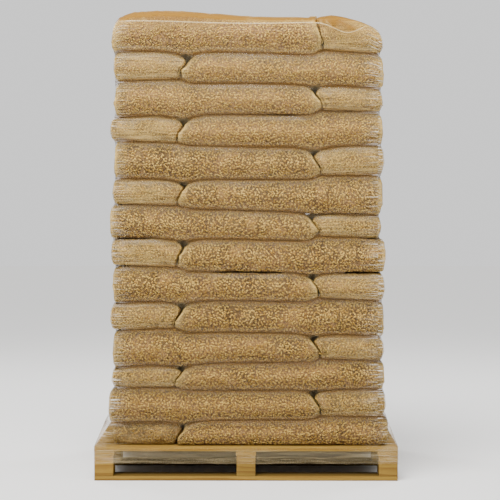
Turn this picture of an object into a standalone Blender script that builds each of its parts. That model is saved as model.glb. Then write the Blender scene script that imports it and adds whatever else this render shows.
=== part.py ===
"""A pallet of sacked wood pellets, held together by stretch film.

Fourteen layers of four sacks stand on a nailed wooden block pallet. In each layer three long sacks lie
side by side along X, and one cross sack lies along Y at their end. The cross sack is at the left of the
odd layers and at the right of the even ones, so that each layer bridges the joints of the one below.

Frame: metres, +Z up, the origin on the floor under the middle of the pallet. X runs along the pallet's
long side, and the side that faces -Y is the front.
"""

import math

import bmesh
import bpy
from mathutils import Vector

# Pallet: boards and blocks as sawn, nailed in four courses from the floor up
PALLET_LENGTH = 1.200
PALLET_WIDTH = 0.800
SKID_WIDTH = 0.095
SKID_THICKNESS = 0.019
BLOCK_LENGTH = 0.075
BLOCK_WIDTH = 0.095
BLOCK_HEIGHT = 0.079
STRINGER_WIDTH = 0.080
STRINGER_THICKNESS = 0.018
DECK_BOARDS = 7
DECK_WIDTH = 0.095
DECK_THICKNESS = 0.019

# Two faces that touch stay this far apart
SEAT_GAP = 0.0003

# Sacks: each layer's thickness from the deck up. The lower ones are pressed flatter and spread wider.
LAYER_THICKNESS = (
    0.102, 0.118, 0.110, 0.119, 0.126, 0.113, 0.129,
    0.115, 0.122, 0.129, 0.128, 0.121, 0.121, 0.138,
)
LONG_SACKS_IN_LAYER = 3
LOAD_LENGTH_LOW = 1.102
LOAD_LENGTH_TOP = 1.070
LOAD_WIDTH_LOW = 0.800
LOAD_WIDTH_TOP = 0.788
CROSS_SHARE = 0.263  # of the load's length that the cross sack takes
SACK_OVERLAP = 0.005  # how far the long sacks' sides press into each other
SACK_CORNER = 0.070  # radius of a sack's corners, seen from above
SACK_CORNER_LEAST = 0.008  # the same, on its flat top and bottom
RIM_SHARE = 0.44  # of a sack's thickness that its rounded rims take, above and below
CORNER_STEPS = 2
RIM_STEPS = 2
# The top layer carries nothing, so it swells into a crown, more so at its left end
CROWN_RISE_LEFT = 0.036
CROWN_RISE_RIGHT = 0.012
CROWN_RINGS = ((0.020, 0.60), (0.050, 1.00))  # how far in from the rim, and how much of the rise

# Stretch film: a thin sleeve round the load and the upper part of the pallet
FILM_THICKNESS = 0.001
FILM_CLEARANCE = 0.0008  # from the sacks' sides
FILM_HEM_HEIGHT = 0.068
FILM_SHOULDER_HEIGHT = 0.268  # where the film from the pallet's edge meets the sacks
FILM_SAG = 0.009  # how far it goes in between two layers

DECK_TOP = SKID_THICKNESS + BLOCK_HEIGHT + STRINGER_THICKNESS + DECK_THICKNESS + 3 * SEAT_GAP
LOAD_BASE = DECK_TOP + SEAT_GAP
LOAD_TOP = LOAD_BASE + sum(LAYER_THICKNESS)


def clear_scene():
    for obj in list(bpy.data.objects):
        bpy.data.objects.remove(obj)


def finish(name, colour, roughness):
    """A plain Principled material. The colour is linear red, green and blue."""
    material = bpy.data.materials.new(name)
    material.use_nodes = True
    shader = material.node_tree.nodes["Principled BSDF"]
    shader.inputs["Base Color"].default_value = (*colour, 1.0)
    shader.inputs["Roughness"].default_value = roughness
    shader.inputs["Metallic"].default_value = 0.0
    return material


def group(name):
    """An empty at the origin, which the pieces of one part of the object hang from."""
    empty = bpy.data.objects.new(name, None)
    bpy.context.scene.collection.objects.link(empty)
    return empty


def place(name, mesh, location, material, parent):
    obj = bpy.data.objects.new(name, mesh)
    obj.location = location
    obj.parent = parent
    mesh.materials.append(material)
    bpy.context.scene.collection.objects.link(obj)
    return obj


def mesh_from(bm, name):
    bmesh.ops.recalc_face_normals(bm, faces=bm.faces)
    mesh = bpy.data.meshes.new(name)
    bm.to_mesh(mesh)
    bm.free()
    return mesh


def between(low, high, share):
    return low + (high - low) * share


def box(size):
    """A bmesh box round its own centre."""
    bm = bmesh.new()
    bmesh.ops.create_cube(bm, size=1.0)
    bmesh.ops.scale(bm, vec=size, verts=bm.verts)
    return bm


# The pallet


def timber(name, size, centre, material, parent):
    """One sawn board or block, square-edged, centred at its place."""
    return place(name, mesh_from(box(size), name), centre, material, parent)


def make_pallet(wood):
    pallet = group("pallet")
    long_edge = (PALLET_WIDTH - BLOCK_WIDTH) / 2
    rows = {"front": -long_edge, "middle": 0.0, "back": long_edge}
    short_edge = (PALLET_LENGTH - BLOCK_LENGTH) / 2
    columns = {"left": -short_edge, "middle": 0.0, "right": short_edge}

    skid_z = SKID_THICKNESS / 2
    for row, y in rows.items():
        size = (PALLET_LENGTH, SKID_WIDTH, SKID_THICKNESS)
        timber(f"skid_board_{row}", size, (0.0, y, skid_z), wood, pallet)

    block_z = SKID_THICKNESS + SEAT_GAP + BLOCK_HEIGHT / 2
    for row, y in rows.items():
        for column, x in columns.items():
            size = (BLOCK_LENGTH, BLOCK_WIDTH, BLOCK_HEIGHT)
            timber(f"block_{row}_{column}", size, (x, y, block_z), wood, pallet)

    stringer_x = (PALLET_LENGTH - STRINGER_WIDTH) / 2
    stringer_z = block_z + BLOCK_HEIGHT / 2 + SEAT_GAP + STRINGER_THICKNESS / 2
    for column, side in (("left", -1), ("middle", 0), ("right", 1)):
        size = (STRINGER_WIDTH, PALLET_WIDTH, STRINGER_THICKNESS)
        centre = (side * stringer_x, 0.0, stringer_z)
        timber(f"stringer_board_{column}", size, centre, wood, pallet)

    deck_z = DECK_TOP - DECK_THICKNESS / 2
    deck_pitch = (PALLET_WIDTH - DECK_WIDTH) / (DECK_BOARDS - 1)
    for number in range(DECK_BOARDS):
        size = (PALLET_LENGTH, DECK_WIDTH, DECK_THICKNESS)
        y = (DECK_WIDTH - PALLET_WIDTH) / 2 + number * deck_pitch
        timber(f"deck_board_{number + 1}", size, (0.0, y, deck_z), wood, pallet)


# The sacks


def load_size(height):
    """The load's length and width at a height above the deck's sacks."""
    share = (height - LOAD_BASE) / (LOAD_TOP - LOAD_BASE)
    length = between(LOAD_LENGTH_LOW, LOAD_LENGTH_TOP, share)
    width = between(LOAD_WIDTH_LOW, LOAD_WIDTH_TOP, share)
    return length, width


def rounded_outline(half_x, half_y, radius, steps):
    """A rectangle's points in order, with its corners rounded."""
    points = []
    for corner in range(4):
        centre_x = (half_x - radius) * (1 if corner in (0, 3) else -1)
        centre_y = (half_y - radius) * (1 if corner in (0, 1) else -1)
        for step in range(steps + 1):
            angle = math.radians(90) * (corner + step / steps)
            points.append((centre_x + radius * math.cos(angle), centre_y + radius * math.sin(angle)))
    return points


def add_loop(bm, outline, height):
    """A loop of points. height is a number, or a function of x."""
    at = height if callable(height) else lambda x: height
    return [bm.verts.new(Vector((x, y, at(x)))) for x, y in outline]


def bridge(bm, loops):
    for lower, upper in zip(loops, loops[1:]):
        for index in range(len(lower)):
            after = (index + 1) % len(lower)
            bm.faces.new((lower[index], lower[after], upper[after], upper[index]))


def sack_outline(length, width, inset):
    radius = max(SACK_CORNER - inset, SACK_CORNER_LEAST)
    return rounded_outline(length / 2 - inset, width / 2 - inset, radius, CORNER_STEPS)


def rim_profile(thickness):
    """How far in and how far from the middle a rim's rings lie, from the sack's widest part outwards."""
    rim = RIM_SHARE * thickness
    profile = []
    for step in range(RIM_STEPS + 1):
        angle = math.radians(90) * step / RIM_STEPS
        profile.append((rim * (1 - math.cos(angle)), thickness / 2 - rim + rim * math.sin(angle)))
    return profile


def filled_sack(length, width, thickness, crown=None):
    """A full sack lying flat, round its own centre. crown gives the rise of its free top at each x."""
    bm = bmesh.new()
    profile = rim_profile(thickness)
    loops = [add_loop(bm, sack_outline(length, width, inset), -z) for inset, z in reversed(profile)]
    loops += [add_loop(bm, sack_outline(length, width, inset), z) for inset, z in profile]
    if crown:
        rim_inset, rim_z = profile[-1]
        for further, share in CROWN_RINGS:
            outline = sack_outline(length, width, rim_inset + further)
            loops.append(add_loop(bm, outline, lambda x: rim_z + share * crown(x)))
    bridge(bm, loops)
    bm.faces.new(reversed(loops[0]))
    bm.faces.new(loops[-1])
    return bm


def crown_rise(centre_x, load_length):
    """The rise of the crown at a sack's own x, for a sack whose middle is at centre_x."""
    def rise(x):
        share = (x + centre_x + load_length / 2) / load_length
        return between(CROWN_RISE_LEFT, CROWN_RISE_RIGHT, share)
    return rise


def join_sacks(first, others):
    """Unites sacks that press against each other. Their rounded rims leave the grooves between them."""
    for other in others:
        other.hide_render = True
        other.display_type = "WIRE"
        union = first.modifiers.new(other.name, "BOOLEAN")
        union.operation = "UNION"
        union.solver = "EXACT"
        union.object = other


def make_layer(number, base, thickness, film_and_pellets, load):
    """The long sacks and the cross sack of one layer. number counts from 1 at the deck."""
    centre_z = base + thickness / 2
    height = thickness - SEAT_GAP
    load_length, load_width = load_size(centre_z)
    cross_width = CROSS_SHARE * load_length
    long_length = load_length - cross_width - SEAT_GAP
    cross_side = -1 if number % 2 else 1
    cross_x = cross_side * (load_length - cross_width) / 2
    long_x = -cross_side * (load_length - long_length) / 2
    is_top = number == len(LAYER_THICKNESS)
    name = f"layer_{number:02d}"

    cross_crown = crown_rise(cross_x, load_length) if is_top else None
    cross = filled_sack(cross_width, load_width, height, cross_crown)
    cross_name = f"{name}_cross_sack"
    place(cross_name, mesh_from(cross, cross_name), (cross_x, 0.0, centre_z), film_and_pellets, load)

    long_width = (load_width + (LONG_SACKS_IN_LAYER - 1) * SACK_OVERLAP) / LONG_SACKS_IN_LAYER
    pitch = long_width - SACK_OVERLAP
    long_crown = crown_rise(long_x, load_length) if is_top else None
    sacks = []
    for place_in_row in range(LONG_SACKS_IN_LAYER):
        sack = filled_sack(long_length, long_width, height, long_crown)
        y = (place_in_row - (LONG_SACKS_IN_LAYER - 1) / 2) * pitch
        sack_name = f"{name}_long_sacks" if not sacks else f"{name}_joined_{place_in_row}"
        mesh = mesh_from(sack, sack_name)
        sacks.append(place(sack_name, mesh, (long_x, y, centre_z), film_and_pellets, load))
    join_sacks(sacks[0], sacks[1:])


def make_load(film_and_pellets):
    load = group("load")
    base = LOAD_BASE
    for number, thickness in enumerate(LAYER_THICKNESS, start=1):
        make_layer(number, base, thickness, film_and_pellets, load)
        base += thickness


# The stretch film


def film_outline(length, width, inset):
    """The film's outer outline round the sacks, inset from their widest part."""
    over_sacks = FILM_CLEARANCE + FILM_THICKNESS - inset
    radius = SACK_CORNER + over_sacks
    return rounded_outline(length / 2 + over_sacks, width / 2 + over_sacks, radius, CORNER_STEPS)


def film_rings():
    """The sleeve's outer outlines and their heights, from the hem up to the top sacks' rims."""
    over_pallet = SEAT_GAP + FILM_THICKNESS
    half_x = PALLET_LENGTH / 2 + over_pallet
    half_y = PALLET_WIDTH / 2 + over_pallet
    round_pallet = rounded_outline(half_x, half_y, over_pallet, CORNER_STEPS)
    rings = [(round_pallet, FILM_HEM_HEIGHT), (round_pallet, DECK_TOP + over_pallet)]
    base = LOAD_BASE
    for number, thickness in enumerate(LAYER_THICKNESS, start=1):
        length, width = load_size(base + thickness / 2)
        low, high = base + RIM_SHARE * thickness, base + (1 - RIM_SHARE) * thickness
        if number == 2:
            rings.append((film_outline(length, width, 0.0), FILM_SHOULDER_HEIGHT))
        if number > 2:
            rings.append((film_outline(length, width, FILM_SAG), base))
            rings.append((film_outline(length, width, 0.0), low))
        if number > 1:
            rings.append((film_outline(length, width, 0.0), high))
        base += thickness
    inset, rise = rim_profile(thickness)[1]
    rings.append((film_outline(length, width, inset), base - thickness / 2 + rise))
    return rings


def make_film(clear_film):
    bm = bmesh.new()
    bridge(bm, [add_loop(bm, outline, height) for outline, height in film_rings()])
    mesh = bpy.data.meshes.new("stretch_film")
    bm.to_mesh(mesh)
    bm.free()
    film = place("stretch_film", mesh, (0.0, 0.0, 0.0), clear_film, None)
    wall = film.modifiers.new("wall", "SOLIDIFY")
    wall.thickness = FILM_THICKNESS
    wall.offset = -1.0
    wall.use_even_offset = True


clear_scene()
make_pallet(finish("sawn_pine", (0.55, 0.38, 0.17), 0.75))
make_load(finish("pellets_in_clear_film", (0.46, 0.30, 0.13), 0.55))
make_film(finish("clear_stretch_film", (0.75, 0.75, 0.72), 0.15))
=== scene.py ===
# %% [markdown]
# # A pallet of sacked wood pellets
#
# A wooden block pallet carries fourteen layers of clear plastic sacks. Each sack holds 16 kg of wood
# pellets. Stretch film goes round the whole load and grips the pallet's edge.
#
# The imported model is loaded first. It gives every board, every layer and the film at its real size, in
# metres. This script keeps those places and makes the looks: each sack is simulated as a bag that fills
# up, real pellets are laid under its film, and every surface gets its own material.

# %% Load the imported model
import itertools
import math

import bpy
import numpy as np
from mathutils import Matrix, Vector
from mathutils.bvhtree import BVHTree


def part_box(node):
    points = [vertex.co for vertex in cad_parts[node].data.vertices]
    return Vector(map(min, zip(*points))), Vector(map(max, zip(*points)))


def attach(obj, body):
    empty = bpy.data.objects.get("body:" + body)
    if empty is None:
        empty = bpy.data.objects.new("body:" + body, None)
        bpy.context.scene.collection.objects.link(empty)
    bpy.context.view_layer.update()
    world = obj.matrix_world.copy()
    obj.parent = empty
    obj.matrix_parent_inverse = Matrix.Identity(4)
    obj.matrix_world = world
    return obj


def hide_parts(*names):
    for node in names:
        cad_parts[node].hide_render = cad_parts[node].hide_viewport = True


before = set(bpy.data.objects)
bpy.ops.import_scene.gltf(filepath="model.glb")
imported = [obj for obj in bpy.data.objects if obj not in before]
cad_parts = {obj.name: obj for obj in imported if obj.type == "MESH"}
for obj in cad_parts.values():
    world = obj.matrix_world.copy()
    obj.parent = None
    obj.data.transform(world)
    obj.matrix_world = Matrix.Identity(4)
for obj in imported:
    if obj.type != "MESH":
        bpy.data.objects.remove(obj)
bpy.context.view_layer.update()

# %% [markdown]
# ## Small helpers
#
# An operator in Blender acts on all that is selected, and loading leaves the model's nodes selected. So
# every new piece starts with nothing selected. Two more helpers move a mesh's points to and from one
# array of numbers, which is much quicker than a loop over thousands of points.

# %% Helpers for selecting and for moving points


def nothing_selected():
    if bpy.context.object and bpy.context.object.mode != "OBJECT":
        bpy.ops.object.mode_set(mode="OBJECT")
    bpy.ops.object.select_all(action="DESELECT")


def only(obj):
    """Selects one object and makes it the active one."""
    nothing_selected()
    obj.select_set(True)
    bpy.context.view_layer.objects.active = obj
    return obj


def points_of(mesh):
    """A mesh's points as rows of x, y and z."""
    flat = np.zeros(len(mesh.vertices) * 3)
    mesh.vertices.foreach_get("co", flat)
    return flat.reshape(-1, 3)


def set_points(mesh, points):
    mesh.vertices.foreach_set("co", np.asarray(points, float).ravel())
    mesh.update()


def smoothstep(low, high, value):
    """Runs smoothly from 0 at low to 1 at high, also where low is the larger."""
    share = np.clip((value - low) / (high - low), 0.0, 1.0)
    return share * share * (3.0 - 2.0 * share)


def give(obj, name, values):
    """Stores one number for each point, for a material to read."""
    layer = obj.data.attributes.new(name, "FLOAT", "POINT")
    layer.data.foreach_set("value", np.asarray(values, np.float32))


def apply_all(obj):
    only(obj)
    for modifier in list(obj.modifiers):
        bpy.ops.object.modifier_apply(modifier=modifier.name)
    return obj


# %% [markdown]
# ## Camera, floor and light
#
# The photograph looks at the long side from about 6 m away and 1.1 m up, so the camera hardly looks down
# and the sacks' layers look straight. A long lens at that distance fits the frame: the picture is 1.97 m
# wide at the front of the pallet. The room is a plain pale floor under soft, nearly white light, with a
# large lamp high in front. The underside of each sack is darker partly by that lamp and partly by painted
# shade on its pellets and film.

# %% Camera
# half of the pallet's length and depth. Its long side faces the camera
HALF_LENGTH, HALF_DEPTH = 0.60, 0.40
FRONT_Y = -HALF_DEPTH
PICTURE_WIDTH = 1.967
SENSOR_WIDTH = 36.0
CAMERA_AT = Vector((0.05, -6.40, 1.10))
LOOKS_AT = Vector((0.016, FRONT_Y, 0.913))

nothing_selected()
bpy.ops.object.camera_add(location=CAMERA_AT)
camera = bpy.context.object
camera.name = "camera"
camera.rotation_euler = (LOOKS_AT - CAMERA_AT).to_track_quat("-Z", "Y").to_euler()
camera.data.sensor_width = SENSOR_WIDTH
camera.data.lens = SENSOR_WIDTH * (LOOKS_AT - CAMERA_AT).length / PICTURE_WIDTH
camera.data.clip_end = 100.0
bpy.context.scene.camera = camera
print("lens:", round(camera.data.lens, 1), "mm")

# %% Helpers for materials


def add_node(tree, kind, inputs=None, links=None, **settings):
    """Adds one node, sets its properties and input values, and links its inputs."""
    node = tree.nodes.new(kind)
    for name, value in settings.items():
        setattr(node, name, value)
    for name, value in (inputs or {}).items():
        node.inputs[name].default_value = value
    for name, source in (links or {}).items():
        tree.links.new(source, node.inputs[name])
    return node


def colour(hex_code):
    """An sRGB hex colour as linear red, green, blue and alpha."""
    channels = [int(hex_code[i:i + 2], 16) / 255 for i in (1, 3, 5)]
    linear = [c / 12.92 if c <= 0.04045 else ((c + 0.055) / 1.055) ** 2.4 for c in channels]
    return (*linear, 1.0)


def new_material(name):
    """A new material, its node tree and its Principled shader."""
    material = bpy.data.materials.new(name)
    material.use_nodes = True
    tree = material.node_tree
    return material, tree, tree.nodes["Principled BSDF"]


def set_stops(ramp, stops):
    """Gives a colour ramp its hex colours, each at its position."""
    while len(ramp.elements) < len(stops):
        ramp.elements.new(0.5)
    for element, (position, hex_code) in zip(ramp.elements, stops.items()):
        element.position = position
        element.color = colour(hex_code)


def in_shade(tree, tint):
    """Darkens a colour by the shade that is stored on the piece."""
    shade = add_node(tree, "ShaderNodeAttribute", attribute_name="shade")
    darkened = add_node(
        tree, "ShaderNodeVectorMath", None, {0: tint, "Scale": shade.outputs["Fac"]}, operation="SCALE"
    )
    return darkened.outputs["Vector"]


def cover(obj, material):
    obj.data.materials.clear()
    obj.data.materials.append(material)


# %% Floor and room
# painted studio floor: even, matt and nearly white
floor_paint, tree, shader = new_material("matt_white_floor_paint")
shader.inputs["Base Color"].default_value = colour("#F4F3F1")
shader.inputs["Roughness"].default_value = 0.9

nothing_selected()
bpy.ops.mesh.primitive_plane_add(size=40.0, location=(0.0, 0.0, 0.0))
floor = bpy.context.object
floor.name = "floor"
cover(floor, floor_paint)

world = bpy.data.worlds.new("white_room")
bpy.context.scene.world = world
world.use_nodes = True
tree = world.node_tree
backdrop = tree.nodes["Background"]
backdrop.inputs["Color"].default_value = (1.0, 1.0, 1.0, 1.0)
# the room lights the load a little, and behind the load it looks as pale as the floor
ROOM_LIGHT, ROOM_SEEN = 0.26, 1.06
seen = add_node(tree, "ShaderNodeLightPath")
strength = add_node(
    tree, "ShaderNodeMapRange", {"To Min": ROOM_LIGHT, "To Max": ROOM_SEEN},
    {"Value": seen.outputs["Is Camera Ray"]},
)
tree.links.new(strength.outputs["Result"], backdrop.inputs["Strength"])

# %% Lamps


def lamp(name, kind, place, target, strength):
    """A lamp at a place, aimed at a target. Its strength is in watts, or for a sun in W/m2."""
    nothing_selected()
    bpy.ops.object.light_add(type=kind, location=place)
    made = bpy.context.object
    made.name = name
    made.data.energy = strength
    made.rotation_euler = (Vector(target) - made.location).to_track_quat("-Z", "Y").to_euler()
    return made.data


# a wide and even light from high above the camera, as from a bright ceiling
ceiling = lamp("ceiling_light", "SUN", (-0.9, -2.7, 5.2), (0.0, 0.0, 0.0), 3.4)
ceiling.angle = math.radians(38)

PANELS = {
    # near the top of the load, so that the light falls off downwards as in the photograph
    "top_panel": ((-0.5, -2.4, 3.7), (0.0, -0.4, 1.4), (2.4, 1.6), 130.0),
    # high at both sides, for the highlights on the film at the corners
    "left_panel": ((-2.9, -2.2, 3.3), (0.0, 0.0, 1.1), (0.8, 2.0), 60.0),
    "right_panel": ((3.1, -2.6, 3.3), (0.0, 0.0, 1.1), (0.8, 2.0), 45.0),
    # and behind, for whoever walks round the load
    "back_left_panel": ((-2.7, 2.7, 3.4), (0.0, 0.4, 1.1), (1.2, 1.8), 75.0),
    "back_right_panel": ((2.7, 2.7, 3.4), (0.0, 0.4, 1.1), (1.2, 1.8), 75.0),
}
for name, (place, target, size, watts) in PANELS.items():
    panel = lamp(name, "AREA", place, target, watts)
    panel.shape = "RECTANGLE"
    panel.size, panel.size_y = size
print("lamps:", 1 + len(PANELS))

# %% [markdown]
# ## The pallet's boards and blocks
#
# The pallet is sawn pine, nailed together in four courses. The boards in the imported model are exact
# boxes. A sawn board is never quite exact: its edges are broken by handling, and it is a little hollow or
# wavy along its length. Each board is therefore modelled again over its node: a cube at the node's size,
# cut across its length by bisecting, bevelled, and moved by less than a millimetre, always inwards.

# %% Model one board from its node
rng = np.random.default_rng(14)


def node_cube(name, node):
    """A cube primitive that fills a node's box."""
    low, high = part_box(node)
    nothing_selected()
    bpy.ops.mesh.primitive_cube_add(size=1.0, location=(low + high) / 2)
    obj = bpy.context.object
    obj.name = name
    obj.scale = high - low
    bpy.ops.object.transform_apply(location=True, rotation=True, scale=True)
    return obj, low, high


def cut_across(obj, low, high, cuts):
    """Cuts a box into equal lengths along its longest side."""
    axis = max(range(3), key=lambda k: high[k] - low[k])
    normal = [1.0 if k == axis else 0.0 for k in range(3)]
    only(obj)
    bpy.ops.object.mode_set(mode="EDIT")
    for cut in range(1, cuts):
        place = list((low + high) / 2)
        place[axis] = low[axis] + (high[axis] - low[axis]) * cut / cuts
        bpy.ops.mesh.select_all(action="SELECT")
        bpy.ops.mesh.bisect(plane_co=place, plane_no=normal)
    bpy.ops.object.mode_set(mode="OBJECT")
    return axis


EDGE, HOLLOW = 0.0012, 0.0006


def worn_board(name, node, cuts):
    """A sawn board over its node: edges broken by 1.2 mm, and sides hollow by up to 0.6 mm."""
    obj, low, high = node_cube(name, node)
    axis = cut_across(obj, low, high, cuts)
    bevel = obj.modifiers.new("broken_edges", "BEVEL")
    bevel.width = EDGE
    bevel.segments = 2
    bevel.limit_method = "ANGLE"
    bevel.angle_limit = math.radians(60)
    apply_all(obj)
    points = points_of(obj.data)
    middle = np.array((low + high) / 2)
    phase = rng.uniform(0, 2 * math.pi, 3)
    along = (points[:, axis] - low[axis]) / (high[axis] - low[axis])
    for k in range(3):
        if k != axis:
            wave = 0.5 + 0.5 * np.sin(2 * math.pi * along * rng.uniform(0.8, 2.2) + phase[k])
            side = np.sign(points[:, k] - middle[k])
            points[:, k] -= side * HOLLOW * wave
    set_points(obj.data, points)
    only(obj)
    bpy.ops.object.shade_smooth_by_angle(angle=math.radians(40))
    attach(obj, "root")
    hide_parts(node)
    return obj


# %% Model all boards and blocks
BOARD_NODES = [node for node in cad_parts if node.startswith(("skid", "block", "stringer", "deck"))]
boards = {}
for node in sorted(BOARD_NODES):
    cuts = 3 if node.startswith("block") else 10
    boards[node] = worn_board(f"pine_{node}", node, cuts)
print("boards:", len(boards), "faces:", sum(len(board.data.polygons) for board in boards.values()))

# %% [markdown]
# ## Nails
#
# Each crossing of two boards is held by two nails. Only their flat heads show, 9 mm across and sunk
# almost flush. One head is modelled: a short cylinder whose rim is bevelled. The others are copies of its
# mesh, joined into one piece for the deck and one for the skids.

# %% Model a nail head
HEAD_RADIUS, HEAD_THICKNESS, HEAD_CROWN = 0.0045, 0.004, 0.0003


def nail_head():
    """A short cylinder whose upper rim is rounded off."""
    nothing_selected()
    bpy.ops.mesh.primitive_cylinder_add(
        vertices=12, radius=HEAD_RADIUS, depth=HEAD_THICKNESS, end_fill_type="NGON"
    )
    obj = bpy.context.object
    bpy.ops.object.mode_set(mode="EDIT")
    bpy.ops.mesh.select_all(action="DESELECT")
    bpy.ops.mesh.select_mode(type="FACE")
    bpy.ops.object.mode_set(mode="OBJECT")
    for face in obj.data.polygons:
        face.select = face.center.z > 0.0 and face.normal.z > 0.9
    bpy.ops.object.mode_set(mode="EDIT")
    bpy.ops.mesh.inset(thickness=HEAD_RADIUS / 5, depth=HEAD_CROWN)
    bpy.ops.object.mode_set(mode="OBJECT")
    bpy.ops.object.shade_smooth_by_angle(angle=math.radians(40))
    return obj


# %% Helpers that copy a piece and find the crossings


def copies_of(name, source, places):
    """One joined mesh that holds a copy of the source at each place, given as 4x4 matrices."""
    points = points_of(source.data)
    faces = [list(face.vertices) for face in source.data.polygons]
    all_points, all_faces = [], []
    for place in places:
        turn = np.array(place)
        all_points.append(points @ turn[:3, :3].T + turn[:3, 3])
        start = len(points) * (len(all_points) - 1)
        all_faces += [[v + start for v in face] for face in faces]
    mesh = bpy.data.meshes.new(name)
    mesh.from_pydata(np.concatenate(all_points).tolist(), [], all_faces)
    obj = bpy.data.objects.new(name, mesh)
    bpy.context.scene.collection.objects.link(obj)
    only(obj)
    bpy.ops.object.shade_smooth_by_angle(angle=math.radians(40))
    return obj


def crossings(uppers, lowers, spacing):
    """Two places for each pair of boards that cross, spread along the upper board's length."""
    found = []
    for upper in uppers:
        for lower in lowers:
            (u0, u1), (l0, l1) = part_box(upper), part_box(lower)
            x0, x1 = max(u0.x, l0.x), min(u1.x, l1.x)
            y0, y1 = max(u0.y, l0.y), min(u1.y, l1.y)
            for side in (-1, 1):
                x = (x0 + x1) / 2 + side * spacing[0] + rng.uniform(-0.003, 0.003)
                y = (y0 + y1) / 2 + side * spacing[1] + rng.uniform(-0.004, 0.004)
                found.append((x, y))
    return found


def course(kind):
    """The names of the boards of one course of the pallet."""
    return sorted(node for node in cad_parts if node.startswith(kind))


# %% Set a nail head at every crossing
head = nail_head()
DECK_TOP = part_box("deck_board_1")[1].z
DECK_SPACING, SKID_SPACING = (0.016, 0.022), (0.018, 0.022)
deck_places = [
    Matrix.Translation((x, y, DECK_TOP - HEAD_THICKNESS / 2))
    for x, y in crossings(course("deck"), course("stringer"), DECK_SPACING)
]
turn_over = Matrix.Rotation(math.pi, 4, "X")
skid_places = []
for skid in course("skid"):
    row = skid.split("_")[-1]
    for x, y in crossings([skid], course(f"block_{row}"), SKID_SPACING):
        skid_places.append(Matrix.Translation((x, y, HEAD_THICKNESS / 2 + HEAD_CROWN)) @ turn_over)
deck_nails = copies_of("deck_nails", head, deck_places)
skid_nails = copies_of("skid_nails", head, skid_places)
bpy.data.objects.remove(head)
print("nails:", len(deck_places), "in the deck and", len(skid_places), "in the skids")

# %% [markdown]
# ## Wood
#
# Pine is a pale softwood. Each year adds a wide light band and a thin darker one, so a sawn face shows
# long streaks, and a cut end shows arcs. A pattern of rings round a pith that lies outside the board
# gives both at once. The rings are 2 to 4 mm apart on real boards. They are drawn 7 mm apart here, so that
# they still show. Fine fibres run along the grain, and here and there the saw has opened a brown knot.

# %% Sawn pine, with its grain along one axis


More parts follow.
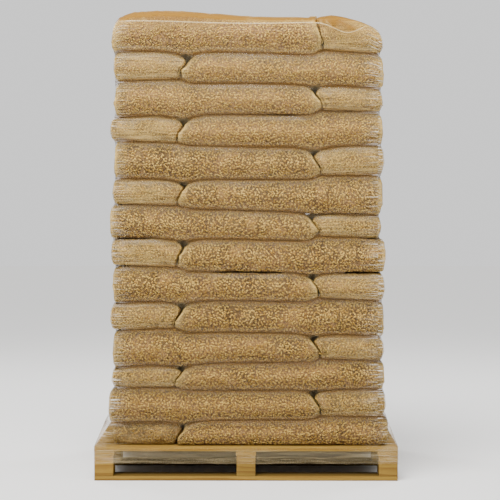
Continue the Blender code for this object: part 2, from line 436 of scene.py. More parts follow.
def sawn_pine(name, axis, seed, tint=0.0):
    """Pine whose grain runs along an axis. seed moves the pith, streaks and knots; tint lightens."""
    material, tree, shader = new_material(name)
    pick = np.random.default_rng(seed)
    coord = add_node(tree, "ShaderNodeTexCoord")
    spin = {0: (0.0, 0.0, 0.0), 1: (0.0, 0.0, math.radians(90)), 2: (0.0, math.radians(90), 0.0)}[axis]
    turned = add_node(
        tree, "ShaderNodeMapping", {"Rotation": spin}, {"Vector": coord.outputs["Object"]}
    )
    shift = (pick.uniform(-5, 5), pick.uniform(0.05, 0.12), pick.uniform(0.03, 0.09))
    moved = add_node(
        tree, "ShaderNodeMapping", {"Location": shift, "Scale": (0.12, 1.0, 1.0)},
        {"Vector": turned.outputs["Vector"]},
    )
    bend = add_node(
        tree, "ShaderNodeTexNoise", {"Scale": 9.0, "Detail": 2.0, "Roughness": 0.5},
        {"Vector": moved.outputs["Vector"]},
    )
    # the bend is 12 mm either way
    away = add_node(
        tree, "ShaderNodeVectorMath", {1: (0.024, 0.024, 0.024)}, {0: bend.outputs["Color"]},
        operation="MULTIPLY",
    )
    bent = add_node(
        tree, "ShaderNodeVectorMath", None,
        {0: moved.outputs["Vector"], 1: away.outputs["Vector"]}, operation="ADD",
    )
    rings = add_node(
        tree, "ShaderNodeTexWave", {"Scale": 42.0, "Distortion": 1.2, "Detail": 2.0, "Detail Scale": 1.5},
        {"Vector": bent.outputs["Vector"]}, wave_type="RINGS", rings_direction="X", wave_profile="SAW",
    )
    ring_tone = add_node(tree, "ShaderNodeValToRGB", None, {"Fac": rings.outputs["Fac"]})
    set_stops(ring_tone.color_ramp, {0.35: "#90722F", 0.97: "#785722"})
    # broad patches of lighter and darker wood, some 100 mm across
    patches = add_node(
        tree, "ShaderNodeTexNoise", {"Scale": 7.0, "Detail": 4.0, "Roughness": 0.6},
        {"Vector": moved.outputs["Vector"]},
    )
    patch_tone = add_node(
        tree, "ShaderNodeMapRange",
        {"From Min": 0.3, "From Max": 0.7, "To Min": 0.86 + tint, "To Max": 1.08 + tint},
        {"Value": patches.outputs["Fac"]},
    )
    wood = add_node(
        tree, "ShaderNodeVectorMath", None,
        {0: ring_tone.outputs["Color"], "Scale": patch_tone.outputs["Result"]}, operation="SCALE",
    )
    # painted shade: faces that look down are darkened, as little light reaches them
    facing = add_node(tree, "ShaderNodeNewGeometry")
    upright = add_node(tree, "ShaderNodeSeparateXYZ", None, {"Vector": facing.outputs["True Normal"]})
    painted_underside_shade = add_node(
        tree, "ShaderNodeMapRange", {"From Min": -0.9, "From Max": -0.5, "To Min": 0.22, "To Max": 1.0},
        {"Value": upright.outputs["Z"]},
    )
    # painted shade: the skids' tops are darkened, as they lie in the shade of the deck above
    painted_skid_top_shade = add_node(
        tree, "ShaderNodeMapRange",
        {"From Min": 0.5, "From Max": 0.9, "To Min": 1.0, "To Max": 0.5 if "skid" in name else 1.0},
        {"Value": upright.outputs["Z"]},
    )
    both = add_node(
        tree, "ShaderNodeMath", None, {0: painted_underside_shade.outputs["Result"], 1: painted_skid_top_shade.outputs["Result"]},
        operation="MULTIPLY",
    )
    wood_in_painted_shade = add_node(
        tree, "ShaderNodeVectorMath", None,
        {0: wood.outputs["Vector"], "Scale": both.outputs["Value"]}, operation="SCALE",
    )
    # fibres: streaks 1 mm wide and some 60 mm long
    stretched = add_node(
        tree, "ShaderNodeMapping", {"Scale": (0.02, 1.0, 1.0), "Location": shift},
        {"Vector": turned.outputs["Vector"]},
    )
    fibres = add_node(
        tree, "ShaderNodeTexNoise", {"Scale": 900.0, "Detail": 3.0, "Roughness": 0.6},
        {"Vector": stretched.outputs["Vector"]},
    )
    # knots, cut lengthwise: a few dark streaks, 20 mm wide and some 160 mm long
    spots = add_node(
        tree, "ShaderNodeTexVoronoi", {"Scale": 5.5, "Randomness": 1.0},
        {"Vector": moved.outputs["Vector"]}, distance="EUCLIDEAN",
    )
    knot = add_node(
        tree, "ShaderNodeMapRange", {"From Min": 0.035, "From Max": 0.075, "To Min": 1.0, "To Max": 0.0},
        {"Value": spots.outputs["Distance"]},
    )
    fibred = add_node(
        tree, "ShaderNodeMix", {"B": colour("#A87B45")}, {"A": wood_in_painted_shade.outputs["Vector"]},
        data_type="RGBA", blend_type="MULTIPLY",
    )
    fibre_share = add_node(
        tree, "ShaderNodeMapRange", {"From Min": 0.45, "From Max": 0.85, "To Min": 0.0, "To Max": 0.55},
        {"Value": fibres.outputs["Fac"]},
    )
    tree.links.new(fibre_share.outputs["Result"], fibred.inputs["Factor"])
    knotted = add_node(
        tree, "ShaderNodeMix", {"B": colour("#7A4E26")},
        {"A": fibred.outputs["Result"], "Factor": knot.outputs["Result"]}, data_type="RGBA",
    )
    tree.links.new(knotted.outputs["Result"], shader.inputs["Base Color"])
    bump = add_node(
        tree, "ShaderNodeBump", {"Strength": 0.35, "Distance": 0.0006},
        {"Height": fibres.outputs["Fac"]},
    )
    tree.links.new(bump.outputs["Normal"], shader.inputs["Normal"])
    shader.inputs["Roughness"].default_value = 0.72
    shader.inputs["Specular IOR Level"].default_value = 0.2
    return material


# %% Cover the boards
# painted shade: the skid and the block right inside the pallet are darkest, as little light reaches them
# there; two blocks in front are older wood
TINTS = {
    "block_middle_middle": -0.55, "skid_board_middle": -0.55,
    "block_front_middle": -0.20, "block_front_right": -0.16,
}
for number, (node, board) in enumerate(sorted(boards.items())):
    axis = 1 if node.startswith("stringer") else 0
    tint = TINTS.get(node, -0.04 if node.startswith("block") else 0.0)
    cover(board, sawn_pine(f"sawn_pine_{node}", axis, 100 + number, tint))
print("wood materials:", len(boards))

# %% Nail steel
# bright wire nails, hammered: grey steel with a slight shine
nail_steel, tree, shader = new_material("bright_nail_steel")
shader.inputs["Base Color"].default_value = colour("#8E8B86")
shader.inputs["Metallic"].default_value = 1.0
shader.inputs["Roughness"].default_value = 0.42
for nails in (deck_nails, skid_nails):
    cover(nails, nail_steel)
    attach(nails, "root")
print("nails covered with", nail_steel.name)

# %% [markdown]
# ## One filled sack, by simulation
#
# A pellet sack is a tube of clear film that is welded shut across both ends. Full, it is a plump cushion
# with flat sides where its neighbours press, a puckered weld at each end, and folded ears at the weld's
# corners. Those folds are hard to draw by hand and easy to simulate: a flat bag is laid in a mould of six
# walls, the film is given some slack, and air pressure pushes it out until it fills the mould. Three
# such sacks with different slack are enough, because each can be turned four ways.

# %% Lay out a flat bag
SACK_LENGTH, SACK_WIDTH, SACK_THICKNESS = 0.80, 0.272, 0.119
FLAT_LENGTH, FLAT_WIDTH = 0.92, 0.385
CELL = 0.0115


def flat_bag(seed):
    """Two sheets of film, joined all round, that lie just inside the mould."""
    nothing_selected()
    columns, rows = round(FLAT_LENGTH / CELL), round(FLAT_WIDTH / CELL)
    bpy.ops.mesh.primitive_grid_add(x_subdivisions=columns, y_subdivisions=rows, size=1.0)
    bag = bpy.context.object
    bpy.ops.object.mode_set(mode="EDIT")
    bpy.ops.mesh.select_all(action="SELECT")
    bpy.ops.mesh.duplicate()
    bpy.ops.mesh.flip_normals()
    bpy.ops.object.mode_set(mode="OBJECT")
    mesh = bag.data
    lower = np.zeros(len(mesh.vertices), bool)
    mesh.vertices.foreach_get("select", lower)
    points = points_of(mesh)
    from_end = 1.0 - np.abs(points[:, 0]) * 2.0
    from_side = 1.0 - np.abs(points[:, 1]) * 2.0
    swell = np.sqrt(np.clip(from_end * 8, 0, 1) * np.clip(from_side * 4, 0, 1))
    points[:, 0] *= 0.97 * SACK_LENGTH
    points[:, 1] *= 0.97 * SACK_WIDTH
    points[:, 2] = np.where(lower, -1.0, 1.0) * 0.05 * swell
    set_points(mesh, points)
    only(bag)
    bpy.ops.object.mode_set(mode="EDIT")
    bpy.ops.mesh.select_all(action="SELECT")
    bpy.ops.mesh.remove_doubles(threshold=0.0002)
    bpy.ops.object.mode_set(mode="OBJECT")
    jitter = np.random.default_rng(seed).normal(0.0, 0.0006, (len(mesh.vertices), 3))
    set_points(mesh, points_of(mesh) + jitter)
    return bag


# %% [markdown]
# The mould is six thick walls, because cloth can slip through a thin one. They stand for the neighbours
# that hold a sack in the stack. Negative shrinking makes the film grow by some percent, which is the
# slack that becomes wrinkles.

# %% Build the mould


def mould_wall(centre, size):
    """A block that the film can't pass."""
    nothing_selected()
    bpy.ops.mesh.primitive_cube_add(size=1.0, location=centre)
    wall = bpy.context.object
    wall.scale = size
    bpy.ops.object.transform_apply(location=True, rotation=True, scale=True)
    wall.modifiers.new("solid", "COLLISION")
    wall.collision.thickness_outer = 0.002
    wall.collision.cloth_friction = 2.0
    return wall


WALL = 0.08


def mould():
    """Six walls round the space that a full sack takes, each wider than the side that it closes."""
    half = (SACK_LENGTH / 2, SACK_WIDTH / 2, SACK_THICKNESS / 2)
    walls = []
    for axis in range(3):
        for side in (-1, 1):
            centre, size = [0.0, 0.0, 0.0], [1.2, 0.7, 0.4]
            centre[axis] = side * (half[axis] + WALL / 2)
            size[axis] = WALL
            walls.append(mould_wall(centre, size))
    return walls


# %% Fill a bag in its mould
PRESSURE = 12.0
FRAMES = 34


def filled_sack(name, seed, slack):
    """A bag blown up in the mould, with the simulation's result as its mesh."""
    bag = flat_bag(seed)
    walls = mould()
    only(bag)
    cloth = bag.modifiers.new("film", "CLOTH")
    film = cloth.settings
    film.quality = 6
    film.mass = 0.15
    # film hardly stretches and folds easily, so it is stiff in its plane and soft in bending
    film.tension_stiffness, film.compression_stiffness = 20.0, 10.0
    film.shear_stiffness, film.bending_stiffness = 8.0, 0.3
    film.tension_damping, film.compression_damping, film.shear_damping = 10.0, 10.0, 5.0
    film.air_damping = 2.0
    film.use_pressure = True
    film.uniform_pressure_force = PRESSURE
    film.shrink_min = -slack
    film.effector_weights.gravity = 0.0
    cloth.collision_settings.collision_quality = 2
    cloth.collision_settings.distance_min = 0.002
    cloth.point_cache.frame_end = FRAMES
    scene = bpy.context.scene
    scene.frame_start, scene.frame_end = 1, FRAMES
    for number in range(1, FRAMES + 1):
        scene.frame_set(number)
    bpy.ops.object.modifier_apply(modifier=cloth.name)
    scene.frame_set(1)
    for wall in walls:
        bpy.data.objects.remove(wall)
    bag.name = name
    return bag


# %% Fill three bags
# the seed of each bag's first unevenness, and its slack as a share of its length
BAGS = {"sack_a": (3, 0.050), "sack_b": (8, 0.070), "sack_c": (21, 0.090)}
sack_shapes = []
for name, (seed, slack) in BAGS.items():
    shape = filled_sack(name, seed, slack)
    size = points_of(shape.data).max(0) - points_of(shape.data).min(0)
    sack_shapes.append(shape)
    print(name, "size in mm:", (size * 1000).round(0), "faces:", len(shape.data.polygons))

# %% [markdown]
# The simulated film has far more points than its flat sides need. The Decimate modifier keeps them where
# the film is wrinkled and drops them where it is flat. A second, much coarser copy becomes the dark bed
# inside the sack. Both are measured from -1 to 1 along each side, so that they can be fitted to any place
# in the stack.

# %% Thin the sacks out and measure them


def thinned(source, name, triangles):
    """A copy of a shape with about so many triangles."""
    obj = source.copy()
    obj.data = source.data.copy()
    obj.name = name
    bpy.context.scene.collection.objects.link(obj)
    decimate = obj.modifiers.new("fewer", "DECIMATE")
    decimate.ratio = min(1.0, triangles / (2 * len(source.data.polygons)))
    return apply_all(obj)


# how much of their depth the rounded ends, long sides and faces keep: the less, the fuller the sack
KEPT_DEPTH = (0.60, 0.30, 0.42)
SKIN_TRIANGLES, BED_TRIANGLES = 2500, 640


def unit_shape(obj):
    """The points from -1 to 1 along each side, and the triangles."""
    points = points_of(obj.data)
    low, high = np.percentile(points, 0.2, axis=0), np.percentile(points, 99.8, axis=0)
    points = np.clip((points - (low + high) / 2) / ((high - low) / 2), -1.03, 1.03)
    for axis, share in enumerate(KEPT_DEPTH):
        inside = 1 - np.abs(points[:, axis])
        points[:, axis] = np.sign(points[:, axis]) * (1 - share * inside - (1 - share) * inside**3)
    obj.data.calc_loop_triangles()
    faces = np.array([tri.vertices[:] for tri in obj.data.loop_triangles])
    return points, faces


skins, beds = [], []
for shape in sack_shapes:
    skin = thinned(shape, f"{shape.name}_skin", SKIN_TRIANGLES)
    bed = thinned(shape, f"{shape.name}_bed", BED_TRIANGLES)
    skins.append(unit_shape(skin))
    beds.append(unit_shape(bed))
    for obj in (skin, bed, shape):
        bpy.data.objects.remove(obj)
print("triangles of each skin and bed:", [(len(skin[1]), len(bed[1])) for skin, bed in zip(skins, beds)])

# %% [markdown]
# ## How the layers lie
#
# The seams between the layers aren't straight. Each seam tilts and bows by some millimetres. It dips
# where the sacks below it leave a notch, and the cross sack's end above it lifts a little higher than the
# long sack beside it. Four numbers for each seam describe that, read off the photograph's front in
# millimetres. The ends of each layer, and the place where its long sacks meet the cross sack, are also
# given layer by layer.

# %% Seams and ends, in millimetres
LAYERS = 14
# how far from the middle, in metres, a seam has risen or sunk by its full tilt and bow
SEAM_REACH = 0.49
#        tilt, bow, step, dip of the seam on top of each layer
SEAMS = {
    1: (-4, 5, 16, 11), 2: (-3, -2, 13, 5), 3: (-5, 12, 17, 11), 4: (3, 10, 18, 9), 5: (5, 11, 18, 10),
    6: (5, -5, 17, 9), 7: (11, 5, 22, 10), 8: (15, 2, 13, 6), 9: (2, -4, 16, 11), 10: (6, -12, 8, 13),
    11: (2, 12, 23, 15), 12: (5, 12, 17, 5), 13: (16, 9, 22, 14),
}
#        left end, joint, right end of each layer, from the pallet's middle
ENDS = {
    1: (-535, -250, 566), 2: (-545, 272, 556), 3: (-535, -258, 549), 4: (-527, 270, 547),
    5: (-539, -257, 547), 6: (-528, 264, 550), 7: (-537, -249, 551), 8: (-539, 264, 536),
    9: (-530, -249, 540), 10: (-521, 271, 547), 11: (-539, -248, 540), 12: (-521, 274, 540),
    13: (-523, -235, 542), 14: (-529, 279, 540),
}


print("layers with a seam on top:", len(SEAMS))

# %% Find the height of a seam


def cross_box(number):
    """The box of a layer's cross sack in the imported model."""
    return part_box(f"layer_{number:02d}_cross_sack")


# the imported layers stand 0.3 mm apart, and a seam runs in the middle of that gap
HALF_GAP = 0.00015
SEAM_Z = [cross_box(1)[0].z] + [cross_box(number)[0].z - HALF_GAP for number in range(2, LAYERS + 1)]


def seam_height(number, x, y):
    """The height of the seam on top of a layer, at each x and y. Seam 0 is the deck."""
    if number == 0:
        return np.full_like(x, SEAM_Z[0])
    tilt, bow, step, dip = (mm / 1000 for mm in SEAMS[number])
    share = x / SEAM_REACH
    back = (y - FRONT_Y) / (2 * HALF_DEPTH)
    joint_below, joint_above = ENDS[number][1] / 1000, ENDS[number + 1][1] / 1000
    side = 1.0 if joint_above > 0 else -1.0
    lift = smoothstep(-0.022, 0.022, side * (x - joint_above))
    notch = np.exp(-(((x - joint_below) / 0.060) ** 2))
    # away from the front and the back, the sack above sags further into the notch
    notch = notch * (1 + 1.1 * smoothstep(0.02, 0.14, HALF_DEPTH - np.abs(y)))
    wander = 0.004 * np.sin(9 * x + 2.3 * number) * np.sin(7 * y + 1.7 * number)
    tilt_here = tilt * np.cos(1.9 * back + 0.6 * number * back)
    sag = tilt_here * share + bow * share**2 * (1 - 0.6 * back) + dip * notch
    return SEAM_Z[number] - sag + step * lift + wander * back


seams_in_front = [float(seam_height(number, np.array(0.0), np.array(FRONT_Y))) for number in range(LAYERS)]
print("seams at the middle, in mm:", [round(z * 1000) for z in seams_in_front])

# %% Find the height of the load's top and of the film's edge
# how high the load's top reaches at places along its length, in metres
CROWN_X = (
    -0.56, -0.53, -0.50, -0.45, -0.36, -0.24, -0.16, -0.06, 0.04,
    0.24, 0.275, 0.30, 0.34, 0.38, 0.45, 0.50, 0.53, 0.56,
)
CROWN_Z = (
    1.780, 1.812, 1.842, 1.860, 1.866, 1.864, 1.858, 1.849, 1.842,
    1.840, 1.846, 1.852, 1.858, 1.852, 1.834, 1.812, 1.790, 1.765,
)
CROWN_ROUND = 0.036


def crown_height(x, across):
    """The free top of the uppermost sacks. across runs from -1 to 1 over one sack."""
    return np.interp(x, CROWN_X, CROWN_Z) - CROWN_ROUND * np.abs(across) ** 3


UPPER_EDGE = 1.812


def wrap_edge(x, y):
    """How high the stretch film reaches. It follows the crown and dips at the front right."""
    dip = 0.045 * np.exp(-(((x - 0.40) / 0.075) ** 2)) * smoothstep(-0.20, -0.33, y)
    return np.minimum(UPPER_EDGE - dip, crown_height(x, np.zeros_like(x)) - 0.026)


print("the load is", round(max(CROWN_Z), 3), "m high at most")

# %% [markdown]
# ## Fitting the sacks into the stack
#
# Each sack is one of the three shapes, turned one of four ways and stretched to its place. Its underside
# follows the seam below and its top follows the seam above, so neighbours touch but never cut into each
# other. Where a long sack meets the cross sack, its weld is pressed low and runs out under the cross
# sack's side, so both lean the same way. On the free sides the belly swells a little past the edge.

# %% Fit one sack
# half the gap between a sack and its neighbours above, beside and in the next row, in metres
GAP, JOINT_GAP, ROW_GAP = 0.0006, 0.0008, 0.0005
# how far the belly stands out past the edge, on the free sides and at the joint
SWELL, JOINT_SWELL = 0.011, 0.004
# how strongly both sacks lean at the joint, in metres
LEAN = 0.029
# how far a weld lies below the middle of its end, as a share of half the sack's thickness
WELD_DROP = 0.34


def fit(unit, place, turns):
    """Maps a unit shape into a place of the stack. Returns its points in metres."""
    a, b, c = unit.T.copy()
    if turns & 1:
        a, b = -a, -b
    if turns & 2:
        b, c = -b, -c
    # a weld lies below the middle of the end
    weld = smoothstep(0.80, 1.0, np.abs(a))
    c = c - WELD_DROP * weld * (1 - c * c)
    x0, x1, y0, y1 = place["box"]
    if place["cross"]:
        along, across = b, a
    else:
        along, across = a, b
    swell = place["swell"]
    x = (x0 + x1) / 2 + along * (x1 - x0) / 2
    y = (y0 + y1) / 2 + across * (y1 - y0) / 2
    round_side = 1 - np.clip(c, -1, 1) ** 2
    x += swell[0] * round_side * smoothstep(0.6, 1.0, along * np.sign(swell[0]))
    if place["cross"]:
        y += swell[1] * round_side * np.sign(across) * smoothstep(0.6, 1.0, np.abs(across))
    else:
        y += swell[1] * round_side * smoothstep(0.6, 1.0, across * np.sign(swell[1]))
    share = np.clip((c + 1) / 2, -0.02, 1.02)
    number, joint, side = place["layer"], place["joint"], place["side"]
    near = smoothstep(0.16, 0.0, np.abs(x - joint))
    lean = LEAN * np.clip(share - 0.70, -0.42, 0.05) * 2.0
    from_edge = smoothstep(0.0, 0.12, HALF_DEPTH - np.abs(y))
    wander = 0.012 * from_edge * np.sin(13.0 * y + 2.1 * number)
    x += (wander - side * lean) * near
    bottom = seam_height(number - 1, x, y) + GAP
    if number == LAYERS:
        # loose film lies over the joint of the top sacks, so the notch between them is shallow
        over_joint = smoothstep(0.035, 0.004, np.abs(x - joint)) * smoothstep(0.40, 0.80, share)
        share = share + 0.85 * over_joint * (1.0 - share)
        top = crown_height(x, 0.9 * a if place["cross"] else b)
    else:
        # both sacks are rounded off beside the joint, which leaves a dark corner under the sack above
        corner = smoothstep(0.028 if place["cross"] else 0.042, 0.002, np.abs(x - joint))
        share = share - 0.13 * corner * smoothstep(0.60, 1.0, share)
        top = seam_height(number, x, y) - GAP
    z = bottom + share * (top - bottom)
    return np.stack([x, y, z], 1)


# %% Find the places of a layer
# half the depth and half the length of the load
LOAD_HALF_DEPTH, LOAD_HALF_LENGTH = 0.398, 0.54


def ends_of(number):
    """Where a layer ends at the left, has its joint and ends at the right, in metres."""
    return [mm / 1000 for mm in ENDS[number]]


def places_in(number):
    """The four places of a layer, by name."""
    left, joint, right = ends_of(number)
    side = 1 if joint > 0 else -1
    pick = np.random.default_rng(500 + number)
    front = -LOAD_HALF_DEPTH + pick.uniform(0.0, 0.006)
    back = LOAD_HALF_DEPTH - pick.uniform(0.0, 0.006)
    # the lowest cross sack lies further back than the others
    cross_front = front + (0.026 if number == 1 else pick.uniform(0.0, 0.004))
    left_x, right_x = (left, joint - JOINT_GAP), (joint + JOINT_GAP, right)
    cross_x, long_x = (right_x, left_x) if side > 0 else (left_x, right_x)
    common = {"layer": number, "joint": joint, "side": side}
    # the bellies reach the ends that are given, so the edges between them lie further in
    if side > 0:
        cross_x, long_x = (cross_x[0], cross_x[1] - SWELL), (long_x[0] + JOINT_SWELL, long_x[1])
    else:
        cross_x, long_x = (cross_x[0] + SWELL, cross_x[1]), (long_x[0], long_x[1] - JOINT_SWELL)
    front, back = front + SWELL, back - SWELL
    cross_front += 0.6 * SWELL
    box, swell = (*cross_x, cross_front, back + 0.4 * SWELL), (side * SWELL, 0.6 * SWELL)
    places = {"cross": {**common, "cross": True, "box": box, "swell": swell}}
    width = (back - front) / 3
    for k, row in enumerate(("front", "middle", "back")):
        y0, y1 = front + k * width, front + (k + 1) * width
        swell = (-side * JOINT_SWELL, (-SWELL, 0.0, SWELL)[k])
        box = (*long_x, y0 + ROW_GAP, y1 - ROW_GAP)
        places[f"long_{row}"] = {**common, "cross": False, "box": box, "swell": swell}
    return places


print("places in a layer:", list(places_in(1)))

# %% Measure where points of a sack lie


def from_outside(points, number):
    """How far in points lie from the nearest side of the load."""
    left, _, right = ends_of(number)
    x, y = points[:, 0], points[:, 1]
    return np.minimum.reduce([x - left, right - x, y + HALF_DEPTH, HALF_DEPTH - y])


def shoulder_band(points):
    """Where the top sacks' film lies loose: from the stretch film's edge to some way in on the crown."""
    x, y, z = points.T
    depth = np.minimum(LOAD_HALF_LENGTH - np.abs(x), HALF_DEPTH - np.abs(y))
    return smoothstep(-0.004, 0.006, z - wrap_edge(x, y)) * smoothstep(0.150, 0.060, depth)


def height_in_sack(points, place):
    """How high points lie in their sack: 0 at the seam below it and 1 at the seam above."""
    x, y, z = points.T
    number = place["layer"]
    bottom = seam_height(number - 1, x, y)
    top = crown_height(x, np.zeros_like(x)) if number == LAYERS else seam_height(number, x, y)
    return np.clip((z - bottom) / (top - bottom), 0.0, 1.0)


# %% Shade a sack
# How light a sack is at some heights in it: full on the belly, least close under the sack above. The top
# layer has nothing above it.
SHADE_AT = (0.0, 0.10, 0.25, 0.45, 0.60, 0.71, 0.81, 0.90, 1.0)
SHADE_SACK = (0.60, 0.60, 0.66, 0.84, 1.0, 0.88, 0.70, 0.47, 0.33)
SHADE_TOP = (0.64, 0.60, 0.66, 0.84, 1.0, 1.0, 1.0, 1.0, 1.0)


def shade_in_sack(points, place):
    """Under the belly, and close under the sack above, the pellets lie in the shade."""
    table = SHADE_TOP if place["layer"] == LAYERS else SHADE_SACK
    # painted shade: the lower layers are darker, as the light falls off towards the floor
    from_floor = 0.86 + 0.14 * smoothstep(0.25, 0.85, points[:, 2])
    return from_floor * np.interp(height_in_sack(points, place), SHADE_AT, table)


# %% Make the film and the bed of one sack


def piece_from(name, points, faces):
    """A smooth mesh object from arrays of points and triangles."""
    mesh = bpy.data.meshes.new(name)
    mesh.from_pydata(points.tolist(), [], faces.tolist())
    mesh.shade_smooth()
    obj = bpy.data.objects.new(name, mesh)
    bpy.context.scene.collection.objects.link(obj)
    return obj


# how far the bed lies below the film: everywhere, and more where pellets lie between them
BED_GAP, PELLET_ROOM = 0.0010, 0.0060


def sunk_bed(points, faces, place):
    """The bed of a sack, sunk to make room for the pellets where the sack shows."""
    corners = points[faces]
    face_normals = np.cross(corners[:, 1] - corners[:, 0], corners[:, 2] - corners[:, 0])
    normals = np.zeros_like(points)
    for k in range(3):
        np.add.at(normals, faces[:, k], face_normals)
    normals /= np.maximum(np.linalg.norm(normals, axis=1), 1e-12)[:, None]
    depth = from_outside(points, place["layer"])
    level = smoothstep(0.5, 0.9, np.abs(normals[:, 2]))
    # all the room as far as 24 mm in from the outside, and none past 50 mm. Less far in on level faces
    bare = smoothstep(0.050 - 0.018 * level, 0.024 - 0.012 * level, depth)
    if place["layer"] == LAYERS:
        bare = np.maximum(bare, smoothstep(0.0, 0.4, normals[:, 2]))
    return points - normals * (BED_GAP + PELLET_ROOM * bare)[:, None]


# %% Mark what the film of each sack does where


def mark_film(sack, unit, turned_over, points, place):
    """Gives a sack the numbers that its film reads: creased ends, slack film with a painted highlight,
    loose and shaded film.
    """
    to_end = np.abs(unit[:, 0])
    give(sack, "weld", smoothstep(0.84, 1.0, to_end))
    # the weld's fin lies folded over the lower half of the end
    low = smoothstep(0.05, -0.35, -unit[:, 2] if turned_over else unit[:, 2])
    give(sack, "fin", low * smoothstep(0.90, 0.99, to_end))
    lip = smoothstep(0.955, 0.985, to_end)
    give(sack, "lip", 0 * lip if place["cross"] else lip)
    give(sack, "shade", shade_in_sack(points, place))
    high = height_in_sack(points, place)
    # painted highlight: a milky band across the upper belly of each sack, where light from above falls
    slack, loose = smoothstep(0.30, 0.62, high) * smoothstep(1.0, 0.86, high), 0 * high
    if place["layer"] == LAYERS:
        normals = np.zeros(len(points) * 3)
        sack.data.vertices.foreach_get("normal", normals)
        slack, loose = smoothstep(0.15, 0.95, normals[2::3]), shoulder_band(points)
    give(sack, "slack", slack)
    give(sack, "loose", loose)


# %% Lay all sacks
sacks, bed_parts = {}, {}
for number in range(1, LAYERS + 1):
    for where, place in places_in(number).items():
        pick = np.random.default_rng(900 + 7 * number + len(where) * 31)
        which, turns = int(pick.integers(3)), int(pick.integers(4))
        (unit, faces), (bed_unit, bed_faces) = skins[which], beds[which]
        # a cross sack is laid by swapping x and y, which turns its faces inside out
        if place["cross"]:
            faces, bed_faces = faces[:, ::-1], bed_faces[:, ::-1]
        points = fit(unit, place, turns)
        name = f"sack_{number:02d}_{where}"
        sack = piece_from(name, points, faces)
        mark_film(sack, unit, turns & 2, points, place)
        sacks[name] = (sack, place)
        bed_parts[name] = (sunk_bed(fit(bed_unit, place, turns), bed_faces, place), bed_faces)
print("sacks:", len(sacks), "triangles:", sum(len(sack.data.polygons) for sack, _ in sacks.values()))

# %% [markdown]
# ## The pellets
#
# Wood pellets are pressed rods, 6 mm thick and 6 to 25 mm long. Against the film they lie nearly flat, in
# every direction. One rod is modelled as a four-sided cylinder, which is enough for a thing that is two
# pixels wide. Copies of it are laid under the film wherever a sack shows, each with its own length,
# direction and depth. They are a little thin and short, which gives the grain that the photograph shows.
# The dark bed below them closes the gaps.

# %% Model one pellet
PELLET_RADIUS = 0.0027
PELLET_SIDES = 4
nothing_selected()
bpy.ops.mesh.primitive_cylinder_add(
    vertices=PELLET_SIDES, radius=PELLET_RADIUS, depth=1.0, end_fill_type="NGON"
)
pellet = bpy.context.object
# the rod's own axis comes first, so that it can be stretched to its length
pellet_points = points_of(pellet.data)[:, [2, 0, 1]]
pellet_sides = [list(face.vertices) for face in pellet.data.polygons if abs(face.normal.z) < 0.5]
pellet_ends = [list(face.vertices) for face in pellet.data.polygons if abs(face.normal.z) > 0.5]
bpy.data.objects.remove(pellet)
print("a pellet has", len(pellet_sides), "sides and", len(pellet_ends), "ends")

# %% Spread points over a sack
# how far apart the pellets' centres lie, in metres
SPACING = 0.0080
# tries for each place that is wanted, because many of them fall too near another
TRIES = 1.7


def scatter(mesh, pick):
    """Random points, spread evenly over a mesh, and the normals there."""
    corner = points_of(mesh)
    mesh.calc_loop_triangles()
    tris = np.array([t.vertices[:] for t in mesh.loop_triangles])
    p0, p1, p2 = (corner[tris[:, k]] for k in range(3))
    cross = np.cross(p1 - p0, p2 - p0)
    area = np.linalg.norm(cross, axis=1) / 2
    normals = cross / np.maximum(2 * area, 1e-12)[:, None]
    count = int(area.sum() / SPACING**2 * TRIES)
    chosen = pick.choice(len(area), count, p=area / area.sum())
    u, v = pick.random((2, count))
    over = u + v > 1
    u[over], v[over] = 1 - u[over], 1 - v[over]
    places = p0[chosen] + u[:, None] * (p1 - p0)[chosen] + v[:, None] * (p2 - p0)[chosen]
    return places, normals[chosen]


def spread_out(places, distance):
    """Keeps the points that have no kept point nearer than the distance."""
    cells, kept = {}, []
    keys = np.floor(places / distance).astype(int)
    steps = list(itertools.product((-1, 0, 1), repeat=3))
    for index, key in enumerate(map(tuple, keys)):
        around = (cells.get((key[0] + dx, key[1] + dy, key[2] + dz)) for dx, dy, dz in steps)
        others = [other for other in around if other is not None]
        if all(np.sum((places[other] - places[index]) ** 2) >= distance**2 for other in others):
            cells[key] = index
            kept.append(index)
    return kept


def shows(places, normals, place):
    """Whether a point of a sack can be seen from outside the stack."""
    depth = from_outside(places, place["layer"])
    flat = np.abs(normals[:, 2]) > 0.88
    # 50 mm in from the outside, and 26 mm in on level faces
    seen = (depth < 0.050) & ~(flat & (depth > 0.026))
    # beside the joint one can look in further from the front and the back
    to_joint, to_face = np.abs(places[:, 0] - place["joint"]), HALF_DEPTH - np.abs(places[:, 1])
    seen |= (to_joint < 0.055) & (to_face < 0.080) & ~flat
    if place["layer"] == LAYERS:
        seen |= normals[:, 2] > 0.15
    return seen


# %% Choose where the pellets of a sack lie
SHORTEST, LONGEST = 0.0060, 0.0120
# how much the pellets tilt out of the film, and how unevenly deep they lie below it
TILT, UNEVEN = 0.11, 0.0028
# a pellet whose end would lie nearer below the film than this is left out
NEAREST = 0.8 * PELLET_RADIUS


def unit_rows(vectors):
    """Each row of an array, made a vector of length 1."""
    return vectors / np.linalg.norm(vectors, axis=1)[:, None]


def under_film(sack, centre, direction, length):
    """Whether both ends of each pellet lie below the film."""
    tree = BVHTree.FromObject(sack, bpy.context.evaluated_depsgraph_get())
    below = np.ones(len(centre), bool)
    for index in range(len(centre)):
        for way in (-0.5, 0.5):
            end = Vector(centre[index] + direction[index] * length[index] * way)
            spot, normal, _, _ = tree.find_nearest(end)
            if (end - spot).dot(normal) > -NEAREST:
                below[index] = False
    return below


